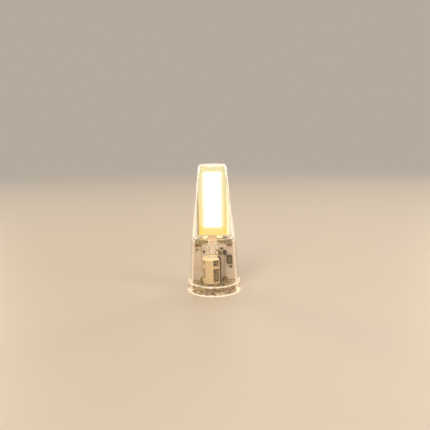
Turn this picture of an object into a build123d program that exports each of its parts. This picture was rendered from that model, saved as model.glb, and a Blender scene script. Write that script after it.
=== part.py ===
"""LED capsule bulb: a lit plate in a clear tapered cover, with its driver in a clear housing below.

Millimetres, +Z up. The origin is the centre of the flat underside; the two contact pins reach below it.
The front of the bulb, with the capacitor, faces -Y.
"""
from build123d import *
from math import sqrt
import os

os.makedirs("parts", exist_ok=True)

# Clear plastic body
skirt_foot_d = 13.8
flange_ledge = 0.35
flange_flare = 0.25
flange_h = 2.65
neck_d = 12.35
neck_z = 14.1
top_d = 7.8
body_h = 35.0
wall = 0.85
top_wall = 0.4
rim_bevel = 0.42
rim_easing = 0.14
flange_bevel = 0.22
crown_rise = 0.15
spigot_h = 1.1
spigot_wall = 0.4
spigot_gap = 0.05
fit_clearance = 0.04

# Base disc and the resin over it
disc_t = 0.95
disc_ledge = 0.35
resin_h = 1.6

# Contact pins
pin_spacing = 6.35
pin_d = 1.25
pin_reach = 7.5
pin_tip_bevel = 0.3
pin_tail_d = 0.9
pin_tail_h = 3.3
collar_d = 2.1
collar_t = 0.45

# LED plate
plate_t = 1.0
plate_w = 8.8
plate_bottom_z = 15.35
plate_clearance = 0.1
plate_top_gap = 0.2
tongue_shift = -0.33
tongue_w = 2.5
tongue_gap = 0.2

# Phosphor coat and chips
phosphor_w = 7.5
phosphor_shift = -0.18
phosphor_t = 0.35
phosphor_margin = 0.05
phosphor_bottom_z = 15.55
field_foot_margin = 2.3
field_top_margin = 1.45
chip_rows = 12
chip_columns = 3
chip_column_pitch = 1.7
chip_w = 0.9
chip_h = 0.5
chip_t = 0.15
pocket_clearance = 0.01

# Driver board
board_t = 0.8
board_gap = 0.02
board_clearance = 0.15
board_top_gap = 0.1
board_foot_gap = 0.05

# Capacitor
capacitor_d = 5.0
capacitor_h = 7.0
capacitor_gap = 0.25
capacitor_shift = -0.58
capacitor_lift = 0.2
sleeve_t = 0.1
shoulder_bevel = 0.45
sleeve_lip = 0.7
crimp_z = 1.1
crimp_depth = 0.25
bung_depth = 0.5
bung_lip = 0.35
lead_d = 0.5
lead_spacing = 2.0
lead_drop = 0.55

# Chips on the board: length, width and thickness, with metal end caps
large_chip = (1.6, 0.8, 0.45)
small_chip = (1.0, 0.5, 0.35)
cap_length = 0.2

# Inductor: outer frame, its window, and the drum inside
inductor_w = 1.5
inductor_h = 2.3
inductor_t = 1.1
inductor_frame = 0.3
inductor_place = (4.35, 8.45)
drum_flange_t = 0.2
drum_post_d = 0.4
drum_gap = 0.04
winding_gap = 0.04

# Leaded parts: place on the board, body width, height and thickness, lead width, lead reach and lead pitch
rectifier_place = (-1.6, 8.2)
rectifier_size = (3.9, 4.7, 1.5)
rectifier_lead = (0.65, 0.9)
rectifier_pitch = 2.54
driver_chip_place = (3.0, 8.2)
driver_chip_size = (1.6, 2.9, 1.1)
driver_chip_lead = (0.4, 0.6)
driver_chip_pitch = 0.95
diode_place = (3.05, 10.35)
diode_size = (0.9, 1.35, 0.7)
diode_lead = (0.5, 0.3)
lead_sheet = 0.15
body_lift = 0.1

# Solder
pin_solder_r = 0.85
pin_solder_foot_z = 1.45
pin_solder_waist_z = 2.4
solder_edge = 0.2
solder_sides = 8
tongue_solder_r = 0.4
tongue_solder_inset = 0.1
tongue_solder_proud = 0.25
tongue_solder_rise = 0.4
tongue_solder_drop = 0.4
lead_solder_r = 0.5

# Glue around the back of the neck, which climbs the wall
glue_w = 1.8
glue_drop = 1.85
glue_h = 0.85
glue_climb = 0.9
glue_gap = 0.03
glue_sweep = 190

skirt_foot_r = skirt_foot_d / 2
flange_top_r = skirt_foot_r + flange_ledge
foot_r = flange_top_r + flange_flare
neck_r = neck_d / 2
top_r = top_d / 2
pin_r = pin_d / 2
pin_tail_r = pin_tail_d / 2
glue_z = neck_z - glue_drop
resin_z = disc_t + resin_h
cover_ceiling_z = body_h - top_wall
plate_top_z = cover_ceiling_z - plate_top_gap
board_front_y = pin_tail_r + board_gap
board_back_y = board_front_y + board_t
plate_back_y = board_front_y
plate_front_y = plate_back_y - plate_t
board_foot_z = disc_t + board_foot_gap
board_top_z = glue_z - board_top_gap
capacitor_foot_z = resin_z + capacitor_lift
tongue_bottom_z = capacitor_foot_z + capacitor_h + tongue_gap


def housing_r(z):
    """Outer radius of the skirt at height z."""
    return skirt_foot_r + (neck_r - skirt_foot_r) * (z - flange_h) / (neck_z - flange_h)


def housing_bore_r(z):
    return housing_r(z) - wall


def cover_r(z):
    """Outer radius of the upper cover at height z."""
    return neck_r + (top_r - neck_r) * (z - neck_z) / (body_h - neck_z)


def cover_bore_r(z):
    """Inner radius of the upper cover at height z: its wall thins towards the top."""
    return cover_r(z) - wall + (wall - top_wall) * (z - neck_z) / (body_h - neck_z)


def room_beside(radius, y):
    """Half of the width that is free inside a circle, at a distance y from its centre."""
    return sqrt(radius**2 - y**2)


def corner(sketch, r, z):
    """The corner of a flat profile that lies at r, z."""
    return sketch.vertices().sort_by_distance((r, z, 0))[0]


def turned(sketch):
    """A profile of radius and height, turned about the bulb's axis."""
    return revolve(Plane.XZ * sketch, Axis.Z)


def upright(sketch, back_y, thickness):
    """A flat outline of x and z, made a sheet that reaches from back_y towards the front."""
    return extrude(Plane.XZ.offset(-back_y) * sketch, thickness)


def block(x, y, z, width, depth, height):
    """A block centred on x, y, z."""
    return Pos(x, y, z) * Box(width, depth, height)


def write(node, shape):
    export_step(shape, f"parts/{node}.step")


def lower_housing():
    """Skirt, foot flange and the spigot, which is flush with the cover's bore and laps the cover's edge."""
    spigot_top_z = neck_z + spigot_h
    recess_r = housing_bore_r(disc_t) + disc_ledge
    profile = make_face(Polyline(
        (foot_r, 0), (flange_top_r, flange_h), (skirt_foot_r, flange_h), (neck_r, neck_z),
        (cover_bore_r(neck_z) + spigot_wall, neck_z),
        (cover_bore_r(spigot_top_z) + spigot_wall, spigot_top_z),
        (cover_bore_r(spigot_top_z), spigot_top_z), (cover_bore_r(neck_z), neck_z),
        (housing_bore_r(disc_t), disc_t), (recess_r, disc_t), (recess_r, 0), close=True))
    profile = chamfer([corner(profile, foot_r, 0), corner(profile, flange_top_r, flange_h)], flange_bevel)
    return turned(profile)


def upper_cover():
    """Tapered cap with a slightly raised top, an eased rim and a rebated lower edge."""
    rim_z = body_h - crown_rise
    lap_top_z = neck_z + spigot_h + spigot_gap
    lap = spigot_wall + fit_clearance
    walls = Polyline(
        (top_r, rim_z), (neck_r, neck_z), (cover_bore_r(neck_z) + lap, neck_z),
        (cover_bore_r(lap_top_z) + lap, lap_top_z), (cover_bore_r(lap_top_z), lap_top_z),
        (cover_bore_r(cover_ceiling_z), cover_ceiling_z), (0, cover_ceiling_z), (0, body_h), close=True)
    profile = make_face(walls)
    profile = chamfer(corner(profile, top_r, rim_z), rim_bevel)
    eased = profile.vertices().sort_by_distance((top_r, rim_z, 0))[:2]
    return turned(chamfer(eased, rim_easing))


def joint_glue():
    """Crescent of glue around the back of the neck."""
    wall_r = housing_bore_r(neck_z) - glue_gap
    top_z = glue_z + glue_h
    bead = make_face(Polyline(
        (wall_r - glue_w, glue_z), (wall_r - glue_w, top_z), (wall_r - glue_w / 3, top_z + glue_climb / 3),
        (wall_r, top_z + glue_climb), (housing_bore_r(glue_z) - glue_gap, glue_z), close=True))
    swept = revolve(Plane.XZ * bead, Axis.Z, revolution_arc=glue_sweep)
    return Rot(0, 0, (180 - glue_sweep) / 2) * swept


def contact_pin(x):
    """Round pin with a bevelled tip, a collar in the base disc and a thinner tail for the solder."""
    tip_z = -pin_reach
    profile = make_face(Polyline(
        (0, tip_z), (pin_r, tip_z), (pin_r, 0), (collar_d / 2, 0), (collar_d / 2, collar_t),
        (pin_tail_r, collar_t), (pin_tail_r, pin_tail_h), (0, pin_tail_h), close=True))
    profile = chamfer(corner(profile, pin_r, tip_z), pin_tip_bevel)
    return Pos(x, 0, 0) * turned(profile)


def pin_solder(x, pin):
    """Drop of solder over the pin's tail, against the board's front face."""
    top_z = pin_tail_h + solder_edge
    drop = make_face(Polyline(
        (0, pin_solder_foot_z), (pin_solder_r, pin_solder_foot_z), (pin_solder_r, pin_solder_waist_z),
        (pin_tail_r + solder_edge, top_z - solder_edge), (pin_tail_r, top_z), (0, top_z), close=True))
    in_front = block(x, board_front_y - foot_r / 2, pin_tail_h, foot_r, foot_r, foot_r)
    return (Pos(x, 0, 0) * turned(drop) & in_front) - pin


def base_disc(pins):
    disc_r = housing_bore_r(disc_t) + disc_ledge - fit_clearance
    disc = Pos(0, 0, disc_t / 2) * Cylinder(disc_r, disc_t)
    for pin in pins:
        disc -= pin
    return disc


def base_resin(embedded):
    """Clear resin poured over the base disc, set around all that stands in it."""
    profile = make_face(Polyline(
        (0, disc_t), (housing_bore_r(disc_t), disc_t), (housing_bore_r(resin_z), resin_z),
        (0, resin_z), close=True))
    resin = turned(profile)
    for piece in embedded:
        resin -= piece
    return resin


def plate_half_w(z, inset):
    """Half of the plate's width at height z: full width, or what the cover's bore leaves."""
    free = room_beside(cover_bore_r(z) - plate_clearance, plate_back_y)
    return min(plate_w / 2, free) - inset


def plate_break_z():
    """Height above which the plate narrows with the cover."""
    bore_needed = sqrt((plate_w / 2)**2 + plate_back_y**2) + plate_clearance
    taper = (cover_bore_r(neck_z) - cover_bore_r(body_h)) / (body_h - neck_z)
    return neck_z + (cover_bore_r(neck_z) - bore_needed) / taper


def plate_outline(bottom_z, inset):
    top_z = plate_top_z - inset
    waist_z = plate_break_z()
    wide = plate_w / 2 - inset
    narrow = plate_half_w(plate_top_z, inset)
    return make_face(Polyline(
        (-wide, bottom_z), (wide, bottom_z), (wide, waist_z), (narrow, top_z),
        (-narrow, top_z), (-wide, waist_z), close=True))


def led_plate():
    """Plate that carries the chips on both faces, with the tongue that is soldered to the board."""
    tongue_h = plate_bottom_z - tongue_bottom_z
    tongue = Pos(tongue_shift, tongue_bottom_z + tongue_h / 2) * Rectangle(tongue_w, tongue_h)
    return upright(plate_outline(plate_bottom_z, 0) + tongue, plate_back_y, plate_t)


def chip_places():
    """The middle of each chip, in even rows over the lit field."""
    field_foot_z = plate_bottom_z + field_foot_margin
    row_pitch = (plate_top_z - field_top_margin - field_foot_z) / chip_rows
    for row in range(chip_rows):
        for column in range(chip_columns):
            x = phosphor_shift + (column - (chip_columns - 1) / 2) * chip_column_pitch
            yield x, field_foot_z + (row + 0.5) * row_pitch


def led_chips(y):
    """All the chips of one face, centred on y."""
    return Compound(children=[block(x, y, z, chip_w, chip_t, chip_h) for x, z in chip_places()])


def phosphor(back_y, chip_y):
    """Coat over one face, with a pocket around each chip."""
    coat_h = plate_top_z - phosphor_bottom_z
    strip = Pos(phosphor_shift, phosphor_bottom_z + coat_h / 2) * Rectangle(phosphor_w, coat_h)
    outline = plate_outline(phosphor_bottom_z, phosphor_margin) & strip
    coat = upright(outline, back_y, phosphor_t)
    grow = 2 * pocket_clearance
    pockets = [
        block(x, chip_y, z, chip_w + grow, chip_t + grow, chip_h + grow) for x, z in chip_places()]
    return coat - pockets


def driver_board():
    """Board that follows the housing's taper, upright behind the pins and the tongue."""
    foot = room_beside(housing_bore_r(board_foot_z) - board_clearance, board_back_y)
    top = room_beside(housing_bore_r(board_top_z) - board_clearance, board_back_y)
    outline = make_face(Polyline(
        (-foot, board_foot_z), (foot, board_foot_z), (top, board_top_z), (-top, board_top_z), close=True))
    return upright(outline, board_back_y, board_t)


capacitor_y = board_front_y - capacitor_gap - capacitor_d / 2
capacitor_place = Pos(capacitor_shift, capacitor_y, capacitor_foot_z)
can_r = capacitor_d / 2 - sleeve_t
can_top_z = capacitor_h - sleeve_t


def capacitor_can():
    """Sealed can with its bevelled shoulder, the crimp groove and the recess for the bung."""
    bung_r = can_r - bung_lip
    profile = make_face(Polyline(
        (0, can_top_z), (can_r, can_top_z), (can_r, 0), (bung_r, 0), (bung_r, bung_depth),
        (0, bung_depth), close=True))
    profile = chamfer(corner(profile, can_r, can_top_z), shoulder_bevel)
    profile -= make_face(Polyline(
        (can_r, crimp_z - crimp_depth), (can_r, crimp_z + crimp_depth), (can_r - crimp_depth, crimp_z),
        close=True))
    return capacitor_place * turned(profile)


def capacitor_sleeve():
    """Printed sleeve, shrunk over the shoulder, with a lip on the can's top."""
    outer = make_face(Polyline(
        (0, 0), (can_r + sleeve_t, 0), (can_r + sleeve_t, capacitor_h), (0, capacitor_h), close=True))
    outer = chamfer(corner(outer, can_r + sleeve_t, capacitor_h), shoulder_bevel + sleeve_t / 2)
    inner = make_face(Polyline((0, 0), (can_r, 0), (can_r, can_top_z), (0, can_top_z), close=True))
    inner = chamfer(corner(inner, can_r, can_top_z), shoulder_bevel)
    lip_r = can_r - sleeve_lip
    hole = Pos(lip_r / 2, capacitor_h) * Rectangle(lip_r, capacitor_h)
    return capacitor_place * turned(outer - inner - hole)


def capacitor_leads():
    """Two wires out of the bung, bent sharply back to the board."""
    low_z = capacitor_foot_z - lead_drop
    leads = []
    for side in (-1, 1):
        x = capacitor_shift + side * lead_spacing / 2
        path = Polyline(
            (x, capacitor_y, capacitor_foot_z), (x, capacitor_y, low_z), (x, board_front_y, low_z))
        section = Plane(origin=path @ 0, z_dir=path % 0) * Circle(lead_d / 2)
        leads.append(sweep(section, path, transition=Transition.RIGHT))
    return leads


def capacitor_bung():
    bung_r = can_r - bung_lip
    return capacitor_place * Pos(0, 0, bung_depth / 2) * Cylinder(bung_r, bung_depth)


def solder_cone(x, z, wide_r, tip_r, height):
    """Eight-sided cone of solder on the board's front face, with its narrow end to the front."""
    face = Plane.XZ.offset(-board_front_y)
    wide_end = face * Pos(x, z) * RegularPolygon(wide_r, solder_sides)
    narrow_end = face.offset(height) * Pos(x, z) * RegularPolygon(tip_r, solder_sides)
    return loft([wide_end, narrow_end], ruled=True)


def lead_solder(leads):
    """Solder where the two wires meet the board."""
    z = capacitor_foot_z - lead_drop
    joints = []
    for side, lead in zip((-1, 1), leads):
        x = capacitor_shift + side * lead_spacing / 2
        joints.append(solder_cone(x, z, lead_solder_r, lead_d / 2 + solder_edge, lead_solder_r) - lead)
    return joints


def tongue_solder(plate):
    """Four points of solder along the tongue's two edges, from the board to the tongue's front."""
    joints = []
    for side in (-1, 1):
        for z in (tongue_bottom_z + tongue_solder_rise, board_top_z - tongue_solder_drop):
            x = tongue_shift + side * (tongue_w / 2 - tongue_solder_inset)
            drop = solder_cone(x, z, tongue_solder_r, tongue_solder_r / 2, plate_t + tongue_solder_proud)
            joints.append(drop - plate)
    return joints


def chip_component(x, z, size, tilt, face_y, out):
    """Small chip on the board: its body, and the two metal end caps. Tilt 0 lies level, 90 stands upright."""
    length, width, thickness = size
    place = Pos(x, face_y + out * thickness / 2, z) * Rot(0, tilt, 0)
    body = place * Box(length - 2 * cap_length, thickness, width)
    caps = [
        place * Pos(side * (length - cap_length) / 2, 0, 0) * Box(cap_length, thickness, width)
        for side in (-1, 1)]
    return body, caps


def leaded_component(place, face_y, out, size, lead, lead_places):
    """Moulded body a little off the board, with bent sheet leads on its left and right sides."""
    x, z = place
    width, height, thickness = size
    lead_w, lead_reach = lead
    middle_y = face_y + out * (body_lift + thickness / 2)
    body = block(x, middle_y, z, width, thickness, height)
    body = chamfer(body.faces().sort_by(Axis.Y)[0 if out < 0 else -1].edges(), thickness / 6)
    leads = []
    for side in (-1, 1):
        for lead_z in lead_places:
            root_x = side * width / 2
            knee_x = root_x + side * lead_reach / 3
            tip_x = root_x + side * lead_reach
            knee_y = body_lift + thickness / 2
            outline = make_face(Polyline(
                (root_x, knee_y - lead_sheet / 2), (root_x, knee_y + lead_sheet / 2),
                (knee_x + side * lead_sheet, knee_y + lead_sheet / 2),
                (knee_x + side * lead_sheet, lead_sheet), (tip_x, lead_sheet), (tip_x, 0),
                (knee_x, 0), (knee_x, knee_y - lead_sheet / 2), close=True))
            foot = extrude(outline, lead_w / 2, both=True)
            leads.append(Pos(x, face_y, z + lead_z) * (foot if out > 0 else mirror(foot, Plane.XZ)))
    return body, leads


def inductor():
    """Shielded inductor: a square frame around a drum core with its winding."""
    x, z = inductor_place
    middle_y = board_front_y - inductor_t / 2
    middle = Pos(x, middle_y, z) * Rot(90, 0, 0)
    window_w = inductor_w - 2 * inductor_frame
    window_h = inductor_h - 2 * inductor_frame
    frame = block(x, middle_y, z, inductor_w, inductor_t, inductor_h)
    frame -= block(x, middle_y, z, window_w, inductor_t, window_h)
    drum_w = window_w - 2 * drum_gap
    drum_h = window_h - 2 * drum_gap
    drum = middle * Cylinder(drum_post_d / 2, inductor_t)
    for side in (-1, 1):
        flange_y = middle_y + side * (inductor_t - drum_flange_t) / 2
        drum += block(x, flange_y, z, drum_w, drum_flange_t, drum_h)
    coil_t = inductor_t - 2 * drum_flange_t - 2 * winding_gap
    coil = block(x, middle_y, z, drum_w, coil_t, drum_h)
    coil = chamfer(coil.edges().filter_by(Axis.Y), drum_w / 4)
    coil -= middle * Cylinder(drum_post_d / 2 + winding_gap, inductor_t)
    return frame, drum, coil


plate = led_plate()
board = driver_board()
pin_x = {"left": -pin_spacing / 2, "right": pin_spacing / 2}
pins = {side: contact_pin(x) for side, x in pin_x.items()}
pin_blobs = {side: pin_solder(x, pins[side]) for side, x in pin_x.items()}
leads = capacitor_leads()
lead_joints = lead_solder(leads)

write("lower_housing", lower_housing())
write("upper_cover", upper_cover())
write("base_disc", base_disc(pins.values()))
write("base_resin", base_resin([board, *pins.values(), *pin_blobs.values(), *leads, *lead_joints]))
for side in pins:
    write(f"contact_pin_{side}", pins[side])
    write(f"pin_solder_{side}", pin_blobs[side])

front_chip_y = plate_front_y - chip_t / 2
back_chip_y = plate_back_y + chip_t / 2
write("led_plate", plate)
write("led_chips_front", led_chips(front_chip_y))
write("led_chips_back", led_chips(back_chip_y))
write("phosphor_front", phosphor(plate_front_y, front_chip_y))
write("phosphor_back", phosphor(plate_back_y + phosphor_t, back_chip_y))
write("tongue_solder", Compound(children=tongue_solder(plate)))

write("driver_board", board)
write("capacitor_can", capacitor_can())
write("capacitor_sleeve", capacitor_sleeve())
write("capacitor_bung", capacitor_bung())
write("capacitor_leads", Compound(children=leads))
write("lead_solder", Compound(children=lead_joints))
write("joint_glue", joint_glue())

end_caps = []
front = (board_front_y, -1)
back = (board_back_y, 1)
upright_tilt = 90
chips = {
    "chip_resistor_1": (2.25, 11.5, small_chip, 0, front),
    "chip_resistor_2": (4.75, 6.2, small_chip, 0, front),
    "chip_resistor_3": (-2.75, 10.6, small_chip, upright_tilt, front),
    "chip_resistor_4": (-3.6, 3.8, large_chip, 0, back),
    "ceramic_capacitor_1": (1.75, 10.25, large_chip, upright_tilt, front),
    "ceramic_capacitor_2": (-4.75, 11.2, small_chip, 0, front),
    "ceramic_capacitor_3": (3.2, 3.8, large_chip, 0, back),
}
for node, (x, z, size, tilt, (face_y, out)) in chips.items():
    body, caps = chip_component(x, z, size, tilt, face_y, out)
    write(node, body)
    end_caps += caps
write("chip_end_caps", Compound(children=end_caps))

diode, diode_feet = leaded_component(diode_place, *front, diode_size, diode_lead, (0,))
write("freewheel_diode", diode)
write("diode_leads", Compound(children=diode_feet))
rectifier_feet_z = (-rectifier_pitch / 2, rectifier_pitch / 2)
rectifier, rectifier_feet = leaded_component(
    rectifier_place, *back, rectifier_size, rectifier_lead, rectifier_feet_z)
write("bridge_rectifier", rectifier)
write("rectifier_leads", Compound(children=rectifier_feet))
driver_feet_z = (-driver_chip_pitch, 0, driver_chip_pitch)
driver, driver_feet = leaded_component(
    driver_chip_place, *back, driver_chip_size, driver_chip_lead, driver_feet_z)
write("driver_chip", driver)
write("driver_chip_leads", Compound(children=driver_feet))

frame, drum, coil = inductor()
write("inductor_frame", frame)
write("inductor_core", drum)
write("inductor_winding", coil)
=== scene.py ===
"""Looks of the LED capsule bulb on its CAD frame: clear body, lit coat, board, can, solder and print."""
from math import cos, pi, radians, sin, sqrt, tan

import bmesh
import bpy
from mathutils import Matrix, Vector, noise


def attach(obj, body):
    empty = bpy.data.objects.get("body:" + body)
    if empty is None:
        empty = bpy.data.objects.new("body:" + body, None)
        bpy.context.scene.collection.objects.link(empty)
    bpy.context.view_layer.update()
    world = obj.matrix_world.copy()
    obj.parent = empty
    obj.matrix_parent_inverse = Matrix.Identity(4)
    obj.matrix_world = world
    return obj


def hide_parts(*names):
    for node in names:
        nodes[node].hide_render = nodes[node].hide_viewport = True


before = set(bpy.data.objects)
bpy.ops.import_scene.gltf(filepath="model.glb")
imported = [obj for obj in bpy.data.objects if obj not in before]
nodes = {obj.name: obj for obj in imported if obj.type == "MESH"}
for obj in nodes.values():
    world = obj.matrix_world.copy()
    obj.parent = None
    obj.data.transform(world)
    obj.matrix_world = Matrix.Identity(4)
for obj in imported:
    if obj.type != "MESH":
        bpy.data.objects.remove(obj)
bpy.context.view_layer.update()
metre = 1000.0

# Sizes of the part, in millimetres, as its source has them
wall = 0.85
top_wall = 0.4
neck_z = 14.1
neck_r = 6.175
skirt_foot_r = 6.9
flange_top_r = 7.25
foot_r = 7.5
flange_h = 2.65
top_r = 3.9
body_h = 35.0
crown_rise = 0.15
ceiling_z = 34.6
fit_clearance = 0.04
spigot_wall = 0.4
spigot_top_z = 15.2
glue_z = 12.25
glue_h = 0.85
disc_t = 0.95
disc_ledge = 0.35
resin_z = 2.55
board_front_y = 0.47
board_back_y = 1.27
board_foot_z = 1.0
board_foot_half = 5.869
board_top_z = 12.15
board_top_half = 5.145
plate_front_y = -0.53
plate_foot_z = 15.35
plate_waist_z = 23.26
plate_top_z = 34.4
plate_half = 4.4
plate_top_half = 3.42
tongue_x = -0.33
tongue_half = 1.25
tongue_foot_z = 9.95
tongue_joint_z = (11.75, 10.35)
coat_x = -0.18
coat_half = 3.75
coat_t = 0.35
chip_row_pitch = 1.275
chip_column_pitch = 1.7
field_foot_z = 17.65
field_top_z = 32.95
capacitor_x = -0.58
capacitor_y = -2.28
capacitor_foot_z = 2.75
capacitor_h = 7.0
sleeve_r = 2.5
sleeve_t = 0.1
crimp_z = 1.1
crimp_depth = 0.25
lead_r = 0.25
lead_aside = 1.0
lead_z = 2.2
pin_places = {"left": -3.175, "right": 3.175}
pin_r = 0.625
pin_reach = 7.5
collar_r = 1.05
collar_t = 0.45
pin_tail_r = 0.45
pin_tail_h = 3.3
pin_solder_r = 0.85
pin_solder_foot_z = 1.45
pin_solder_waist_z = 2.4

# Sizes of the looks alone, in millimetres
hairline = 0.02
glue_gap = 0.04
coat_seat = 0.004
coat_margin = 0.05
chip_depth = 0.078
can_slack = 0.01
tongue_joint_aside = 1.18

# Light and clear plastic
plastic_ior = 1.49
wall_light = (1.0, 0.86, 0.68, 1.0)
wall_smoke = (0.9, 0.84, 0.76, 1.0)


def housing_bore_r(z):
    return skirt_foot_r + (neck_r - skirt_foot_r) * (z - flange_h) / (neck_z - flange_h) - wall


def cover_bore_r(z):
    share = (z - neck_z) / (body_h - neck_z)
    return neck_r + (top_r - neck_r) * share - wall + (wall - top_wall) * share


# Making materials

def add(tree, kind, sockets=None, family="ShaderNode", **settings):
    """A node with its settings, and its sockets filled with values or with other nodes' outputs."""
    node = tree.nodes.new(family + kind)
    for name, value in settings.items():
        setattr(node, name, value)
    for name, value in (sockets or {}).items():
        feed(tree, node.inputs[name], value)
    return node


def feed(tree, socket, value):
    if isinstance(value, bpy.types.NodeSocket):
        tree.links.new(value, socket)
    else:
        socket.default_value = value


def colour(red, green, blue):
    """A colour given as it looks, 0 to 255, in the linear values that shaders take."""
    def linear(level):
        level /= 255
        return level / 12.92 if level <= 0.04045 else ((level + 0.055) / 1.055) ** 2.4
    return (linear(red), linear(green), linear(blue), 1.0)


def math(tree, operation, *values, clamp=False):
    node = add(tree, "Math", operation=operation, use_clamp=clamp)
    for socket, value in zip(node.inputs, values):
        feed(tree, socket, value)
    return node.outputs[0]


def product(tree, *values):
    result = values[0]
    for value in values[1:]:
        result = math(tree, "MULTIPLY", result, value)
    return result


def greatest(tree, *values):
    result = values[0]
    for value in values[1:]:
        result = math(tree, "MAXIMUM", result, value)
    return result


def place_in_mm(tree, stretch=(1, 1, 1), centre=(0, 0, 0)):
    """Object coordinates in millimetres from a centre, stretched for a pattern."""
    coordinates = add(tree, "TexCoord")
    mapping = add(tree, "Mapping", {
        "Vector": coordinates.outputs["Object"],
        "Location": [-c * s for c, s in zip(centre, stretch)],
        "Scale": [metre * s for s in stretch]})
    return mapping.outputs[0]


def parts_of(tree, place):
    """The x, y and z of a place."""
    return add(tree, "SeparateXYZ", {"Vector": place}).outputs[:]


def grain(tree, place, scale, detail=3.0, roughness=0.5):
    return add(tree, "TexNoise", {
        "Vector": place, "Scale": scale, "Detail": detail, "Roughness": roughness}).outputs["Fac"]


def spread(tree, value, low, high, to_low=0.0, to_high=1.0, smooth=False):
    """Maps a value from one range to another and holds it there."""
    node = add(tree, "MapRange", {
        "Value": value, "From Min": low, "From Max": high, "To Min": to_low, "To Max": to_high})
    if smooth:
        node.interpolation_type = "SMOOTHSTEP"
    return node.outputs[0]


def flat_length(tree, across, along):
    """Length of a line that goes so far across and so far along."""
    squares = math(tree, "ADD", product(tree, across, across), product(tree, along, along))
    return math(tree, "SQRT", squares)


def between(tree, value, low, high, soft=0.04):
    """1 where a value lies between two limits, and 0 outside them."""
    rise = spread(tree, value, low - soft, low + soft)
    fall = spread(tree, value, high - soft, high + soft, 1.0, 0.0)
    return product(tree, rise, fall)


def blended(tree, factor, first, second):
    node = add(tree, "Mix", data_type="RGBA")
    feed(tree, node.inputs[0], factor)
    feed(tree, node.inputs[6], first)
    feed(tree, node.inputs[7], second)
    return node.outputs[2]


def bumped(tree, height, depth_mm):
    """Bump of a given depth in millimetres."""
    return add(tree, "Bump", {"Height": height, "Distance": depth_mm / metre}).outputs[0]


def new_finish(name):
    material = bpy.data.materials.new(name)
    material.use_nodes = True
    tree = material.node_tree
    tree.nodes.clear()
    shader = add(tree, "BsdfPrincipled")
    output = add(tree, "OutputMaterial", {"Surface": shader.outputs[0]})
    return material, tree, shader, output


def plain_finish(name, first, second, scale, rough=(0.4, 0.55), depth=0.01, metallic=0.0, stretch=(1, 1, 1)):
    """A finish with two close tones, uneven gloss and a fine surface."""
    material, tree, shader, _ = new_finish(name)
    place = place_in_mm(tree, stretch)
    tone = grain(tree, place, scale)
    fine = grain(tree, place, scale * 6, 2.0)
    feed(tree, shader.inputs["Base Color"], blended(tree, spread(tree, tone, 0.35, 0.65), first, second))
    feed(tree, shader.inputs["Roughness"], spread(tree, fine, 0.3, 0.7, *rough))
    feed(tree, shader.inputs["Normal"], bumped(tree, fine, depth))
    shader.inputs["Metallic"].default_value = metallic
    return material


def clear_finish(name, tint, rough, ripple_scale, ripple_depth, shade, glow=0.0, clearness=1.0,
                 smokiness=0.0):
    """See-through plastic or resin that lets the lamps' light through, and glows with light led inside it.

    Gives the material, its tree and shader, and the x, y and z of the place in millimetres."""
    material, tree, shader, output = new_finish(name)
    place = place_in_mm(tree)
    ripple = grain(tree, place, ripple_scale, 2.0)
    haze = grain(tree, place, ripple_scale * 9, 4.0)
    shader.inputs["Base Color"].default_value = tint
    shader.inputs["Transmission Weight"].default_value = clearness
    shader.inputs["IOR"].default_value = plastic_ior
    feed(tree, shader.inputs["Roughness"], spread(tree, haze, 0.35, 0.75, *rough))
    feed(tree, shader.inputs["Normal"], bumped(tree, ripple, ripple_depth))
    shadow = add(tree, "LightPath").outputs["Is Shadow Ray"]
    through = add(tree, "BsdfTransparent", {"Color": shade})
    mixed = add(tree, "MixShader", {0: shadow, 1: shader.outputs[0], 2: through.outputs[0]})
    tree.links.new(mixed.outputs[0], output.inputs["Surface"])
    if glow:
        led_light = add(tree, "Emission", {"Color": wall_light, "Strength": glow})
        smoke = add(tree, "VolumeAbsorption", {"Color": wall_smoke, "Density": smokiness})
        filled = add(tree, "AddShader", {0: led_light.outputs[0], 1: smoke.outputs[0]})
        tree.links.new(filled.outputs[0], output.inputs["Volume"])
    return material, tree, shader, parts_of(tree, place)


# Making shapes, in millimetres

def piece(name, work, finish, slot, *replaced, sharp=32):
    """Makes an object of a mesh drawn in millimetres, which stands for the CAD nodes named."""
    bmesh.ops.recalc_face_normals(work, faces=work.faces)
    work.transform(Matrix.Scale(1 / metre, 4))
    mesh = bpy.data.meshes.new(name)
    work.to_mesh(mesh)
    work.free()
    mesh.materials.append(finish)
    mesh.polygons.foreach_set("use_smooth", [True] * len(mesh.polygons))
    mesh.set_sharp_from_angle(angle=radians(sharp))
    thing = bpy.data.objects.new(name, mesh)
    bpy.context.scene.collection.objects.link(thing)
    thing.modifiers.new("even_normals", "WEIGHTED_NORMAL").keep_sharp = True
    settle(thing)
    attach(thing, "root")
    if replaced:
        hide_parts(*replaced)
    return thing


def settle(thing):
    """Turns an object and its modifiers into one plain mesh."""
    bpy.context.view_layer.update()
    graph = bpy.context.evaluated_depsgraph_get()
    mesh = bpy.data.meshes.new_from_object(thing.evaluated_get(graph))
    thing.modifiers.clear()
    thing.data = mesh


def arc_between(before, here, after, bend, steps):
    """The points of the arc that takes the place of a corner."""
    to_before, to_after = (before - here).normalized(), (after - here).normalized()
    half = to_before.angle(to_after) / 2
    middle = here + (to_before + to_after).normalized() * bend / sin(half)
    start = here + to_before * bend / tan(half) - middle
    end = here + to_after * bend / tan(half) - middle
    return [middle + start.lerp(end, step / steps).normalized() * bend for step in range(steps + 1)]


def rounded(corners, steps=6):
    """A flat outline whose corners (across, up, radius) become arcs."""
    outline = []
    for index, (across, up, bend) in enumerate(corners):
        here = Vector((across, up))
        if bend:
            before = Vector(corners[index - 1][:2])
            after = Vector(corners[(index + 1) % len(corners)][:2])
            outline += arc_between(before, here, after, bend, steps)
        else:
            outline.append(here)
    return outline


def raised(outline, lift):
    return [Vector((r, z + lift)) for r, z in outline]


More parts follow.
